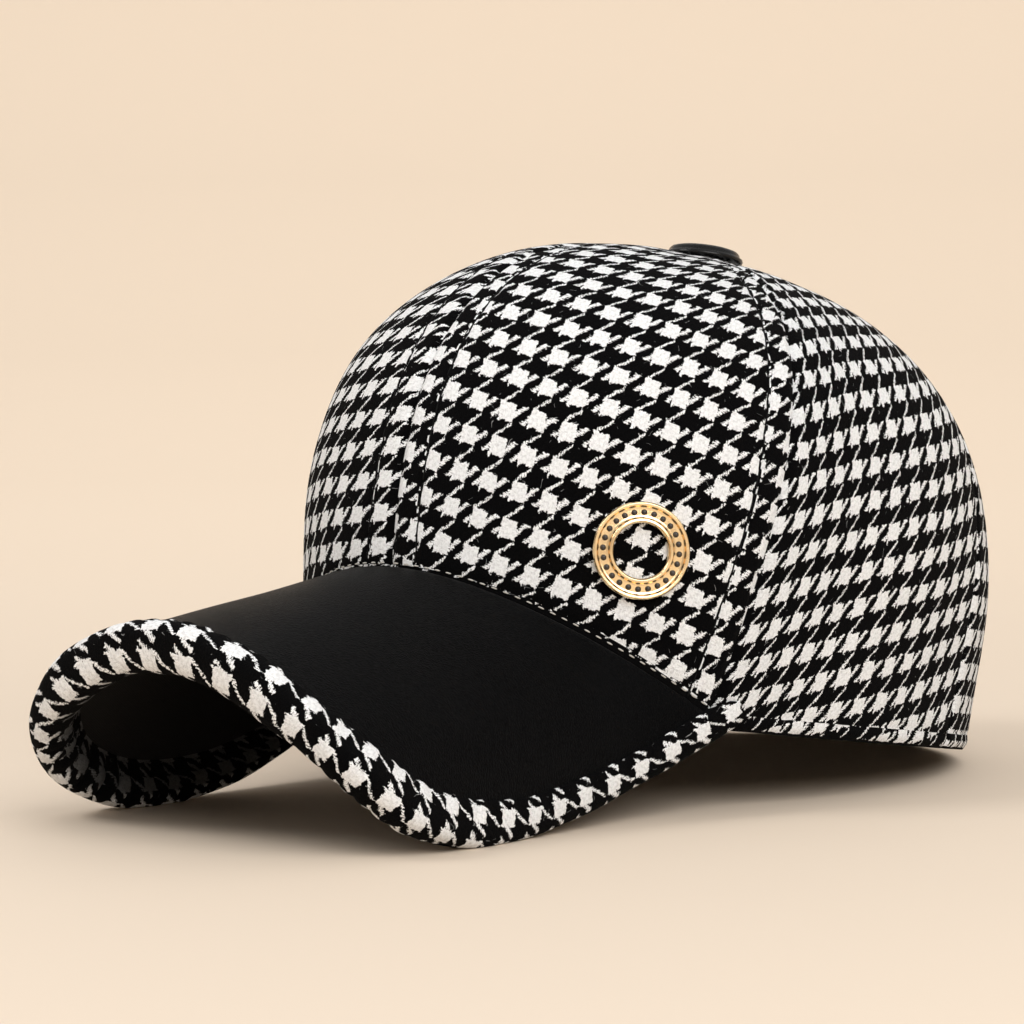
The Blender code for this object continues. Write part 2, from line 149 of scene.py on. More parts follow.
def make_weave_group():
    """Node group: woven houndstooth from a map in metres; gives colour, height and roughness."""
    tree = bpy.data.node_groups.new("houndstooth_weave", "ShaderNodeTree")
    tree.interface.new_socket("Cloth", in_out="INPUT", socket_type="NodeSocketVector")
    tree.interface.new_socket("Lint", in_out="INPUT", socket_type="NodeSocketFloat")
    tree.interface.new_socket("Color", in_out="OUTPUT", socket_type="NodeSocketColor")
    tree.interface.new_socket("Height", in_out="OUTPUT", socket_type="NodeSocketFloat")
    tree.interface.new_socket("Roughness", in_out="OUTPUT", socket_type="NodeSocketFloat")
    entry = tree.nodes.new("NodeGroupInput")
    leave = tree.nodes.new("NodeGroupOutput")
    cloth = entry.outputs["Cloth"]

    in_yarns = tree.nodes.new("ShaderNodeVectorMath")
    in_yarns.operation = "SCALE"
    in_yarns.inputs["Scale"].default_value = 1.0 / YARN_WIDTH
    tree.links.new(cloth, in_yarns.inputs[0])
    loose = shift_vector(tree, in_yarns.outputs[0], noise(tree, cloth, 85.0, 1.0, output="Color"), 1.2)
    loose = shift_vector(tree, loose, noise(tree, cloth, 620.0, 2.0, output="Color"), 1.1)
    loose = shift_vector(tree, loose, noise(tree, cloth, 1900.0, 2.0, output="Color"), 1.15)
    split = tree.nodes.new("ShaderNodeSeparateXYZ")
    tree.links.new(loose, split.inputs[0])
    u, v = [widen_pale(tree, split.outputs[axis]) for axis in "XY"]

    warp_index = calculate(tree, "FLOOR", u)
    weft_index = calculate(tree, "FLOOR", v)
    in_warp = calculate(tree, "FRACT", u)
    in_weft = calculate(tree, "FRACT", v)
    step = calculate(tree, "FLOORED_MODULO", calculate(tree, "SUBTRACT", warp_index, weft_index), 4.0)
    warp_on_top = calculate(tree, "LESS_THAN", step, 1.5)
    weft_on_top = calculate(tree, "SUBTRACT", 1.0, warp_on_top)
    dark_warp = calculate(tree, "LESS_THAN", calculate(tree, "FLOORED_MODULO", warp_index, 8.0), 3.5)
    dark_weft = calculate(tree, "LESS_THAN", calculate(tree, "FLOORED_MODULO", weft_index, 8.0), 3.5)

    # every yarn is a pair of plies, round across and arched along the two cells that it floats over
    across = calculate(tree, "ADD", calculate(tree, "MULTIPLY", warp_on_top, in_warp),
                       calculate(tree, "MULTIPLY", weft_on_top, in_weft))
    from_ply = off_ply(tree, across)
    roundness = calculate(tree, "SUBTRACT", 1.0, calculate(tree, "MULTIPLY", from_ply, from_ply))
    along_warp = calculate(tree, "ADD", calculate(tree, "SUBTRACT", 1.0, step), in_weft)
    along_weft = calculate(tree, "ADD", calculate(tree, "SUBTRACT", step, 2.0), in_warp)
    along = calculate(tree, "ADD", calculate(tree, "MULTIPLY", warp_on_top, along_warp),
                      calculate(tree, "MULTIPLY", weft_on_top, along_weft))
    arch = calculate(tree, "SINE", calculate(tree, "MULTIPLY", along, 0.5 * pi))

    # where pale yarns cross dark ones, a short pointed float of each ply shows: thin slanting links
    # from the warp, wider combs from the weft
    link = pale_float(tree, calculate(tree, "SUBTRACT", v, warp_index), in_warp, LINK_REACH)
    comb = pale_float(tree, calculate(tree, "SUBTRACT", calculate(tree, "SUBTRACT", u, weft_index), 3.0),
                      in_weft, COMB_REACH)
    pale_warp = calculate(tree, "SUBTRACT", 1.0, dark_warp)
    pale_weft = calculate(tree, "SUBTRACT", 1.0, dark_weft)
    both = calculate(tree, "MULTIPLY", pale_warp, pale_weft)
    linked = calculate(tree, "MULTIPLY", calculate(tree, "MULTIPLY", pale_warp, dark_weft), link)
    combed = calculate(tree, "MULTIPLY", calculate(tree, "MULTIPLY", dark_warp, pale_weft), comb)
    pale = calculate(tree, "MAXIMUM", both, calculate(tree, "MAXIMUM", linked, combed))
    dark = calculate(tree, "SUBTRACT", 1.0, pale)
    turns = calculate(tree, "MULTIPLY", calculate(tree, "MULTIPLY_ADD", along, 2.6, across), 2 * pi)
    twist = calculate(tree, "MULTIPLY_ADD", calculate(tree, "SINE", turns), 0.08, 0.08)
    height = calculate(tree, "MULTIPLY_ADD", roundness, 0.30, calculate(tree, "MULTIPLY", arch, 0.35))
    height = calculate(tree, "ADD", height, calculate(tree, "MULTIPLY", pale, 0.25))
    hairs = noise(tree, cloth, 2600.0, 3.0)
    height = calculate(tree, "ADD", calculate(tree, "ADD", height, twist),
                       calculate(tree, "MULTIPLY", hairs, 0.30))

    # fine fibres that stray over the dark yarns
    lines = noise(tree, cloth, 150.0, 1.0, 0.3)
    off_line = calculate(tree, "ABSOLUTE", calculate(tree, "SUBTRACT", lines, 0.5))
    thin = calculate(tree, "LESS_THAN", off_line, 0.0028)
    patchy = calculate(tree, "GREATER_THAN", noise(tree, cloth, 420.0, 1.0), 0.62)
    lint = calculate(tree, "MULTIPLY", calculate(tree, "MULTIPLY", thin, patchy), entry.outputs["Lint"])

    # painted shade: the yarns' colour is darker in the valleys between plies and floats and lighter on their
    # crowns, following the height, and it also varies in random patches of tone
    light = calculate(tree, "MULTIPLY_ADD", height, 0.46, 0.58)
    patches = calculate(tree, "MULTIPLY_ADD", noise(tree, cloth, 1450.0, 4.0), 0.70, 0.66)
    shade = calculate(tree, "MINIMUM", calculate(tree, "MULTIPLY", light, patches), 1.08)
    relief_shade_and_tone = tree.nodes.new("ShaderNodeCombineColor")
    for socket in relief_shade_and_tone.inputs:
        tree.links.new(shade, socket)
    colour = blend_colours(tree, dark, PALE_YARN, DARK_YARN)
    colour = blend_colours(tree, calculate(tree, "MULTIPLY", lint, 0.35), colour, PALE_YARN)
    colour = blend_colours(tree, 1.0, colour, relief_shade_and_tone.outputs[0], "MULTIPLY")
    tree.links.new(colour, leave.inputs["Color"])
    tree.links.new(height, leave.inputs["Height"])
    roughness = calculate(tree, "MULTIPLY_ADD", hairs, 0.2, 0.78)
    tree.links.new(roughness, leave.inputs["Roughness"])
    return tree


def new_material(name):
    """Material with its node tree, Principled shader and the tree's links at hand."""
    material = bpy.data.materials.new(name)
    material.use_nodes = True
    return material, material.node_tree, material.node_tree.nodes["Principled BSDF"]


def add_bump(tree, shader, height, distance):
    """Bump node between a height socket and the shader's normal."""
    bump = tree.nodes.new("ShaderNodeBump")
    bump.inputs["Distance"].default_value = distance
    tree.links.new(height, bump.inputs["Height"])
    tree.links.new(bump.outputs[0], shader.inputs["Normal"])


def make_houndstooth(weave):
    """The cloth. Map "sewing" holds the distance from a stitched line and the height over a turned
    hem's fold, in metres: the fold shows another part of the cloth, a painted shade darkens the
    edges where the cloth rolls under, at the rim and above the visor, and a stitched line gets a
    painted dark line, the shade of its groove, and brings up a sliver of the next yarns beside it.
    A vertex attribute holds painted shade: how much of their white the faces turned under the
    visor lose."""
    material, tree, shader = new_material("houndstooth_wool")
    cloth_map = own_map(tree, "cloth")
    sewing = tree.nodes.new("ShaderNodeSeparateXYZ")
    tree.links.new(own_map(tree, "sewing"), sewing.inputs[0])
    unsteady = noise(tree, cloth_map, 260.0, 2.0)
    off_stitches = calculate(tree, "MULTIPLY_ADD", unsteady, 0.0007, sewing.outputs["X"])
    off_stitches = calculate(tree, "SUBTRACT", off_stitches, 0.00035)
    # painted shade: a thin dark line along the stitched groove
    crease_shade = calculate(tree, "LESS_THAN", calculate(tree, "ABSOLUTE", off_stitches), CREASE_SHADE_HALF_WIDTH)
    off_sliver = calculate(tree, "ABSOLUTE", calculate(tree, "ADD", off_stitches, 0.5 * SLIVER))
    beside = calculate(tree, "LESS_THAN", off_sliver, 0.5 * SLIVER)
    beside = calculate(tree, "MULTIPLY", beside, calculate(tree, "GREATER_THAN", unsteady, 0.5))
    over_fold = calculate(tree, "MULTIPLY_ADD", unsteady, 0.0005, sewing.outputs["Y"])
    turned_up = calculate(tree, "LESS_THAN", over_fold, 0.0)
    shift = tree.nodes.new("ShaderNodeCombineXYZ")
    for axis, folded in zip("XY", FOLDED_STRIP_SHIFT):
        turned = calculate(tree, "MULTIPLY", turned_up, folded)
        moved = calculate(tree, "MULTIPLY_ADD", beside, 4.0 * YARN_WIDTH, turned)
        tree.links.new(moved, shift.inputs[axis])
    place = tree.nodes.new("ShaderNodeVectorMath")
    place.operation = "ADD"
    tree.links.new(cloth_map, place.inputs[0])
    tree.links.new(shift.outputs[0], place.inputs[1])
    group = tree.nodes.new("ShaderNodeGroup")
    group.node_tree = weave
    group.inputs["Lint"].default_value = 1.0
    tree.links.new(place.outputs[0], group.inputs["Cloth"])
    # painted shade: the rim's lowest strip and the front panels' edge that rolls under over the visor
    over_rim = calculate(tree, "MULTIPLY_ADD", unsteady, 0.0010, sewing.outputs["Y"])
    rim = calculate(tree, "LESS_THAN", over_rim, SHADED_EDGE_BELOW)
    # painted shade: faces turned under the visor are blended towards the dark yarn
    painted_under_shade = tree.nodes.new("ShaderNodeAttribute")
    painted_under_shade.attribute_name = "painted_under_shade"
    # painted shade: the stitched groove's line and the rolled edges take the dark yarn's colour
    colour = blend_colours(tree, calculate(tree, "MAXIMUM", crease_shade, rim), group.outputs["Color"], DARK_YARN)
    colour = blend_colours(tree, painted_under_shade.outputs["Fac"], colour, DARK_YARN)
    tree.links.new(colour, shader.inputs["Base Color"])
    tree.links.new(group.outputs["Roughness"], shader.inputs["Roughness"])
    shader.inputs["Specular IOR Level"].default_value = 0.02
    shader.inputs["Sheen Weight"].default_value = 0.01
    shader.inputs["Sheen Roughness"].default_value = 0.5
    add_bump(tree, shader, group.outputs["Height"], 0.00042)
    return material


weave_group = make_weave_group()
houndstooth = make_houndstooth(weave_group)

# ---------------------------------------------------------------- crown panels
# Six gores of the cloth, sewn edge to edge and pulled in along their seams. The two front ones are
# arched over the visor; the others end in a turned-up hem, a fold 4.6 mm above the rim.
HALF_WIDTH = 0.0842
FRONT_LENGTH = 0.1065
BACK_LENGTH = 0.1030
CROWN_HEIGHT = 0.1318
TOP_SETBACK = 0.0100
BULGE = 0.046
MERIDIAN_RISE = {"front": 3.89, "side": 5.03, "back": 1.62}
MERIDIAN_TURN = {"front": 3.39, "side": 1.63, "back": 1.78}
SEAM_BOW_POWER = 1.8
SEAMS = {
    "centre_front": {"angle": 0.0, "bow": 0.0},
    "side": {"angle": 55.5, "bow": 13.0},
    "rear": {"angle": 109.5, "bow": 7.0},
    "centre_back": {"angle": 180.0, "bow": 0.0},
}
EYELET_RADIUS = 0.0028
REST_PITCH = radians(8.05)
RIM_CENTRE = Vector((0.0, 0.04338, 0.01382))
FLOOR_CLEARANCE = 0.0001
# weave: one repeat of the cloth across and up a panel, in metres, and where in a repeat it starts
PANELS = [
    {"name": "front", "starts": "centre_front", "ends": "side", "wall": 0.0027, "columns": 150, "rows": 150,
     "topstitched": True,
     "weave": {"left": ((0.00850, -0.00230), (0.00060, 0.00950), (0.785, 0.253)),
               "right": ((0.00920, 0.00075), (0.00070, 0.00890), (0.265, 0.567))}},
    {"name": "side", "starts": "side", "ends": "rear", "wall": 0.0023, "columns": 110, "rows": 150,
     "topstitched": False,
     "weave": {"left": ((0.00860, 0.00200), (-0.00060, 0.00960), (0.093, 0.668)),
               "right": ((0.00860, -0.00200), (0.00060, 0.00960), (0.30, 0.10))}},
    {"name": "back", "starts": "rear", "ends": "centre_back", "wall": 0.0023, "columns": 120, "rows": 150,
     "topstitched": False,
     "weave": {"left": ((0.00880, 0.00000), (0.00000, 0.00940), (0.10, 0.40)),
               "right": ((0.00880, 0.00000), (0.00000, 0.00940), (0.55, 0.15))}},
]
EASED_FROM = -0.020
EASED_OVER = 0.004
EASED_BY = {"front": 0.0, "side": 0.45, "back": 0.0}
SEAM_TUCK = 0.0013
SEAM_TUCK_WIDTH = 0.0013
TOPSTITCH_FROM_SEAM = 0.0083
TOPSTITCH_DEPTH = 0.00045
TOPSTITCH_WIDTH = 0.0008
PUCKER_PITCH = 0.0085
HEM_FOLD_HEIGHT = 0.0046
HEM_FOLD_DEPTH = 0.0005
HEM_FOLD_WIDTH = 0.0006
HEM_RIPPLE_PITCH = 0.011
HEM_PUFF = 0.00022
RIM_TURN_DEPTH = 0.0009
RIM_TURN_WIDTH = 0.0011
EDGE_TURN_DEPTH = 0.0005
EDGE_TURN_WIDTH = 0.0009
# the front panels run on behind the visor's leather, and their edge rolls under just above it
CROWN_COVER = 0.0042
# painted shade: these two set where the dark band painted along the rolled edge ends, and how sharply
EDGE_ROLL = -0.0005
EDGE_ROLL_TIGHTNESS = 6.0
# far from stitches, far from a fold and without painted shade
PLAIN_CLOTH = (0.0, 0.0, 1.0, 1.0, 0.0)


def crown_reach(angle, level):
    """How far out the crown's face lies, as a share of the rim's oval."""
    front = np.maximum(np.cos(angle), 0.0) ** 2
    back = np.maximum(-np.cos(angle), 0.0) ** 2
    share = {"front": front, "side": 1.0 - front - back, "back": back}
    rise = sum(share[k] * MERIDIAN_RISE[k] for k in share)
    turn = sum(share[k] * MERIDIAN_TURN[k] for k in share)
    held = np.clip(level, 0.0, 1.0)
    return (1.0 - held ** rise) ** (1.0 / turn) * (1.0 + BULGE * np.sin(np.pi * held))


def crown_point(angle, level):
    """Points of the crown's outer face; angle 0 is the front, +90 degrees the wearer's left."""
    reach = crown_reach(angle, level)
    length = np.where(np.cos(angle) > 0, FRONT_LENGTH, BACK_LENGTH)
    return np.stack([HALF_WIDTH * np.sin(angle) * reach,
                     -length * np.cos(angle) * reach + TOP_SETBACK * (1.0 - reach),
                     CROWN_HEIGHT * np.clip(level, 0.0, 1.0) + 0.0 * reach], axis=-1)


def crown_slopes(angle, level, step=1e-4):
    """Change of the crown's point with its angle and with its level."""
    round_it = (crown_point(angle + step, level) - crown_point(angle - step, level)) / (2 * step)
    low, high = np.maximum(level - step, 0.0), np.minimum(level + step, 1.0 - 1e-7)
    up_it = (crown_point(angle, high) - crown_point(angle, low)) / (high - low)[..., None]
    return round_it, up_it


def crown_normal(angle, level):
    """Outward unit normals of the crown's outer face."""
    round_it, up_it = crown_slopes(angle, level)
    normal = np.cross(round_it, up_it)
    return normal / np.linalg.norm(normal, axis=-1, keepdims=True)


def at_rest(points):
    """Points of the upright cap in its resting pose, pressed flat where they meet the floor."""
    c, s = cos(REST_PITCH), sin(REST_PITCH)
    x, y, z = points[..., 0], points[..., 1], points[..., 2]
    moved = np.stack([x, y * c + z * s, -y * s + z * c], axis=-1) + np.array(RIM_CENTRE)
    moved[..., 2] = np.maximum(moved[..., 2], FLOOR_CLEARANCE)
    return moved


def seam_angle(seam, level):
    """Angle of a seam at a level, in radians."""
    return np.radians(seam["angle"] + seam["bow"] * (1.0 - (1.0 - level) ** SEAM_BOW_POWER))


def dent(distance, width):
    """Smooth hollow of depth 1 at distance 0."""
    return np.exp(-(distance / width) ** 2)


def ease(value, start, end):
    """Smooth step from 0 at the start to 1 at the end."""
    t = np.clip((value - start) / (end - start), 0.0, 1.0)
    return t * t * (3.0 - 2.0 * t)


def soft_waves(angle, level):
    """Slight unevenness of the stiffened cloth, in metres."""
    return (0.00022 * np.sin(5.0 * angle + 7.0 * level + 0.6) + 0.00016 * np.sin(11.0 * angle - 9.0 * level)
            + 0.00012 * np.sin(19.0 * level + 3.0 * angle + 2.0))


# the visor's board comes here, because the front panels end along it: it is a flat board bent round
# an axis that slopes down to the front, less and less bent towards its tip
VISOR_SLOPE = radians(15.9)
VISOR_ROOT = (-0.1100, 0.0356)
BEND_AT_ROOT = 15.80
BEND_GROWTH = 26.0
BEND_EASING = -498.0
DEPTH_AT_ROOT = 0.851
DEPTH_GROWTH = 2.556
TIP_LIFT = 0.090
BOARD_HALF_WIDTH = 0.1093
BOARD_BACK = -0.0475
BOARD_LENGTH = 0.1357
BOARD_SIDE_POWER = 4.11
BOARD_FRONT_POWER = 2.45
CROWN_CLEARANCE = 0.0004


def board_face(across, forward):
    """Flat board places on the bent board's top face."""
    bend = BEND_AT_ROOT + BEND_GROWTH * forward + BEND_EASING * forward ** 2
    depth = DEPTH_AT_ROOT + DEPTH_GROWTH * forward
    rise = TIP_LIFT * forward ** 2 - depth * (1.0 - np.cos(across * bend)) / bend
    return np.stack([np.sin(across * bend) / bend,
                     VISOR_ROOT[0] - forward * cos(VISOR_SLOPE) - rise * sin(VISOR_SLOPE),
                     VISOR_ROOT[1] - forward * sin(VISOR_SLOPE) + rise * cos(VISOR_SLOPE)], axis=-1)


def board_point(across, forward, height):
    """Flat board places on the bent board, at a height over its top face."""
    step = 1e-4
    back_to_front = board_face(across, forward - step) - board_face(across, forward + step)
    side_to_side = board_face(across + step, forward) - board_face(across - step, forward)
    normal = np.cross(side_to_side, back_to_front)
    normal = normal / np.linalg.norm(normal, axis=-1, keepdims=True)
    return board_face(across, forward) + np.asarray(height)[..., None] * normal


def outside_crown(points):
    """Distance of points outside the crown's outer face."""
    x, y, z = points[..., 0], points[..., 1], points[..., 2]
    length = np.where(y < 0, FRONT_LENGTH, BACK_LENGTH)
    angle = np.arctan2(x / HALF_WIDTH, -y / length)
    radius = np.hypot(x / HALF_WIDTH, y / length)
    return (1.0 - crown_reach(angle, z / CROWN_HEIGHT) / radius) * np.hypot(x, y)


def halve(test, low, high):
    """Where each test turns from negative at the low end to positive at the high end."""
    low, high = np.array(low, dtype=float), np.array(high, dtype=float)
    for _ in range(36):
        middle = 0.5 * (low + high)
        below = test(middle) < 0
        low = np.where(below, middle, low)
        high = np.where(below, high, middle)
    return 0.5 * (low + high)


def root_forward(across, height, gap):
    """Forward place where the board meets the crown, for places across it."""
    def clearance(forward):
        return outside_crown(board_point(across, forward, height)) - gap
    start = np.full(np.shape(across), BOARD_BACK - 0.02)
    return halve(clearance, start, np.full(np.shape(across), 0.03))


junction_across = np.linspace(0.0, 0.110, 56)
junction = board_point(junction_across, root_forward(junction_across, 0.0 * junction_across, 0.0),
                       0.0 * junction_across)
junction_angle = np.append(np.arctan2(junction[:, 0] / HALF_WIDTH, -junction[:, 1] / FRONT_LENGTH), 1.12)
junction_height = np.append(junction[:, 2], 0.0)


def sheet_of(columns, rows, place):
    """Grid of cloth whose points place(across, along) sets; both run from 0 to 1. place gives points
    in the upright cap, and columns for the map "cloth" and, where they matter, for the map "sewing"
    and for a vertex attribute of painted shade on faces turned under."""
    bm = bmesh.new()
    bmesh.ops.create_grid(bm, x_segments=columns, y_segments=rows, size=0.5)
    bm.verts.index_update()
    across = np.array([vert.co.x + 0.5 for vert in bm.verts])
    along = np.array([vert.co.y + 0.5 for vert in bm.verts])
    points, given = place(across, along)
    maps = np.tile(PLAIN_CLOTH, (len(points), 1))
    maps[:, :given.shape[1]] = given
    # painted shade of faces turned under, kept per vertex
    under_shade_layer = bm.verts.layers.float.new("painted_under_shade")
    for vert, point, spot in zip(bm.verts, at_rest(points), maps):
        vert.co = point
        vert[under_shade_layer] = spot[4]
    cloth_layer = bm.loops.layers.uv.new("cloth")
    sewing_layer = bm.loops.layers.uv.new("sewing")
    for face in bm.faces:
        for loop in face.loops:
            spot = maps[loop.vert.index]
            loop[cloth_layer].uv = spot[:2]
            loop[sewing_layer].uv = spot[2:4]
    return bm


def finish_piece(name, bm, material, outward, node=None):
    """Object from a bmesh whose faces are turned so that outward(face) is positive."""
    bm.normal_update()
    if sum(outward(face) * face.calc_area() for face in bm.faces) < 0:
        bmesh.ops.reverse_faces(bm, faces=bm.faces)
    mesh = bpy.data.meshes.new(name)
    bm.to_mesh(mesh)
    bm.free()
    mesh.shade_smooth()
    mesh.materials.append(material)
    piece = bpy.data.objects.new(name, mesh)
    bpy.context.collection.objects.link(piece)
    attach(piece, "root")
    if node:
        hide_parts(node)
    return piece


def thicken(piece, thickness, rounding):
    """Gives a sheet its wall, inwards, with rounded edges."""
    wall = piece.modifiers.new("wall", "SOLIDIFY")
    wall.thickness = thickness
    wall.offset = -1.0
    edges = piece.modifiers.new("edges", "BEVEL")
    edges.limit_method = "ANGLE"
    edges.angle_limit = radians(55)
    edges.width = rounding
    edges.segments = 2


def panel_place(panel, word):
    """Place function of one crown panel; the right ones mirror the left ones."""
    first, last = SEAMS[panel["starts"]], SEAMS[panel["ends"]]
    weave_across, weave_up, weave_start = panel["weave"][word]
    to_repeats = np.linalg.inv(np.array([weave_across, weave_up]).T)
    side = 1.0 if word == "left" else -1.0

    def place(across, along):
        share = 0.62 * across + 0.38 * (0.5 - 0.5 * np.cos(np.pi * across))
        level = np.zeros_like(share)
        walked_to = np.zeros_like(share)
        over_visor = np.zeros_like(share)
        for part in np.unique(share):
            base = (1 - part) * radians(first["angle"]) + part * radians(last["angle"])
            arch = float(np.interp(base, junction_angle, junction_height))
            start = max(arch - CROWN_COVER, 0.0) / CROWN_HEIGHT
            steps = start + (1.0 - start) * (1.0 - np.linspace(1.0, 0.0, 900) ** 2.2)
            angles = (1 - part) * seam_angle(first, steps) + part * seam_angle(last, steps)
            wall = crown_point(angles, steps)
            from_axis = np.hypot(wall[:, 0], wall[:, 1] - TOP_SETBACK)
            keep = from_axis > EYELET_RADIUS
            wall, steps = wall[keep], steps[keep]
            walked = np.concatenate([[0.0], np.cumsum(np.linalg.norm(np.diff(wall, axis=0), axis=1))])
            here = share == part
            walked_to[here] = (0.8 * along[here] + 0.2 * along[here] ** 2) * walked[-1]
            level[here] = np.interp(walked_to[here], walked, steps)
            over_visor[here] = arch
        first_angle, last_angle = seam_angle(first, level), seam_angle(last, level)
        angle = (1 - share) * first_angle + share * last_angle
        round_it, _ = crown_slopes(angle, level)
        metres = np.linalg.norm(round_it, axis=-1)
        to_first, to_last = (angle - first_angle) * metres, (last_angle - angle) * metres
        relief = soft_waves(side * angle, level)
        for distance in (to_first, to_last):
            relief -= SEAM_TUCK * dent(distance, SEAM_TUCK_WIDTH)
            if panel["topstitched"]:
                pucker = 1.0 + 0.5 * np.sin(2 * np.pi * walked_to / PUCKER_PITCH + 9.0 * share)
                relief -= TOPSTITCH_DEPTH * pucker * dent(distance - TOPSTITCH_FROM_SEAM, TOPSTITCH_WIDTH)
        hem = 1.0 - ease(over_visor, 0.0005, 0.003)
        ripple = 1.0 + 0.4 * np.sin(2 * np.pi * angle * metres / HEM_RIPPLE_PITCH)
        relief -= hem * HEM_FOLD_DEPTH * ripple * dent(walked_to - HEM_FOLD_HEIGHT, HEM_FOLD_WIDTH)
        relief += hem * HEM_PUFF * dent(walked_to - 0.5 * HEM_FOLD_HEIGHT, 0.4 * HEM_FOLD_HEIGHT)
        relief -= hem * RIM_TURN_DEPTH * dent(walked_to, RIM_TURN_WIDTH)
        relief -= (1.0 - hem) * EDGE_TURN_DEPTH * dent(walked_to - CROWN_COVER + 0.0003, EDGE_TURN_WIDTH)
        points = crown_point(angle, level) + relief[:, None] * crown_normal(angle, level)
        points[:, 0] *= side

        middle = 0.5 * (first_angle + last_angle)
        between, _ = crown_slopes(0.5 * (angle + middle), level)
        at_middle, _ = crown_slopes(middle, level)
        rate = (metres + 4 * np.linalg.norm(between, axis=-1) + np.linalg.norm(at_middle, axis=-1)) / 6
        sideways = side * (angle - middle) * rate
        ladder = np.linspace(0.0, 1.0 - 1e-4, 2000)
        middles = 0.5 * (seam_angle(first, ladder) + seam_angle(last, ladder))
        spine = crown_point(middles, ladder)
        climbed = np.concatenate([[0.0], np.cumsum(np.linalg.norm(np.diff(spine, axis=0), axis=1))])
        upwards = np.interp(level, ladder, climbed)
        place.cut = (np.ptp(sideways), np.ptp(upwards))
        from_ease = side * sideways - EASED_FROM
        eased = EASED_BY[panel["name"]] * (from_ease - EASED_OVER * np.logaddexp(0.0, from_ease / EASED_OVER))
        on_panel_flat = np.stack([sideways + side * eased, upwards], axis=-1)
        on_cloth = on_panel_flat @ to_repeats.T + np.array(weave_start)
        # painted shade: below the roll's start the front panels' edge is coloured dark
        over_roll = SHADED_EDGE_BELOW + EDGE_ROLL_TIGHTNESS * (walked_to - CROWN_COVER - EDGE_ROLL)
        over_fold = hem * (walked_to - HEM_FOLD_HEIGHT) + (1.0 - hem) * over_roll
        off_stitches = np.full_like(level, 1.0)
        if panel["topstitched"]:
            off_stitches = np.minimum(to_first, to_last) - TOPSTITCH_FROM_SEAM + 1.0 * (level > 0.985)
        return points, np.column_stack([REPEAT * on_cloth, off_stitches, over_fold])
    return place


def away_from_head(face):
    """How far a crown face looks away from the middle of the head."""
    return (face.calc_center_median() - RIM_CENTRE - Vector((0, 0, 0.04))).normalized().dot(face.normal)


for panel in PANELS:
    for word in ("left", "right"):
        name = f"panel_{panel['name']}_{word}"
        place = panel_place(panel, word)
        bm = sheet_of(panel["columns"], panel["rows"], place)
        cut_area = sum(face.calc_area() for face in bm.faces)
        piece = finish_piece(f"cloth_{name}", bm, houndstooth, away_from_head, name)
        thicken(piece, panel["wall"], 0.0006)

# ---------------------------------------------------------------- visor's leather and underside
# The board is covered in smooth black leather above and plain black cloth below. Both run from the
# crown's edge to under the rolled binding, and are glued to the bent board between them.
LEATHER = 0.0015
UNDERSIDE = 0.0017
LAYER_GAP = 0.0003
SLOT_INSET = 0.0055
ROOT_SPREAD = 0.985
END_SHARE = 0.994


def edge_curve():
    """Outline of the flat board from one crown end to the other: distance, across, forward."""
    even = np.linspace(-1.0, 1.0, 4801)
    turn = 0.5 * np.pi * np.sign(even) * (1.0 - (1.0 - np.abs(even)) ** 3)
    across = BOARD_HALF_WIDTH * np.sign(turn) * np.abs(np.sin(turn)) ** (2 / BOARD_SIDE_POWER)
    forward = BOARD_BACK + BOARD_LENGTH * np.abs(np.cos(turn)) ** (2 / BOARD_FRONT_POWER)
    run = np.concatenate([[0.0], np.cumsum(np.hypot(np.diff(across), np.diff(forward)))])
    return run - 0.5 * run[-1], across, forward


edge_run, edge_across, edge_forward = edge_curve()
edge_half = float(edge_run[-1])


def edge_point(run, inset):
    """Across and forward of the flat board at a distance along its outline and an inset."""
    def on_edge(r):
        return np.stack([np.interp(r, edge_run, edge_across), np.interp(r, edge_run, edge_forward)], axis=-1)
    step = 0.0015
    ahead = on_edge(np.minimum(run + step, edge_half)) - on_edge(np.maximum(run - step, -edge_half))
    ahead = ahead / np.linalg.norm(ahead, axis=-1, keepdims=True)
    inward = np.stack([ahead[..., 1], -ahead[..., 0]], axis=-1)
    return on_edge(run) + np.asarray(inset)[..., None] * inward


def edge_reach(inset, height):
    """How far along the outline inset lines run before they meet the crown."""
    def clearance(run):
        flat = edge_point(run, inset)
        return CROWN_CLEARANCE - outside_crown(board_point(flat[..., 0], flat[..., 1], height))
    shape = np.shape(inset)
    return halve(clearance, np.full(shape, 0.6 * edge_half), np.full(shape, edge_half))


def board_place(height, tuck):
    """Place function of one layer of the board, whose edge at the crown dips by the tuck."""
    def place(across, along):
        part = END_SHARE * (2.0 * across - 1.0)
        inset = np.full_like(part, SLOT_INSET)
        level = np.full_like(part, height)
        limit = edge_reach(inset[:1], level[:1])[0]
        outer = edge_point(part * limit, inset)
        tip = edge_point(np.array([limit]), inset[:1])[0, 0]
        quarter = 0.5 * pi * ROOT_SPREAD
        root = tip * np.sin(quarter * part) / sin(quarter)
        start = root_forward(root, level, CROWN_CLEARANCE)
        inner = np.stack([root, start], axis=-1)
        flat = (1 - along[:, None]) * inner + along[:, None] * outer
        run = along * np.linalg.norm(outer - inner, axis=-1)
        drawn_in = tuck * dent(run, 0.0011)
        waves = 0.00010 * np.sin(90 * flat[:, 0] + 40 * flat[:, 1]) + 0.00008 * np.sin(150 * flat[:, 1])
        return board_point(flat[:, 0], flat[:, 1], level - drawn_in + waves), flat
    return place


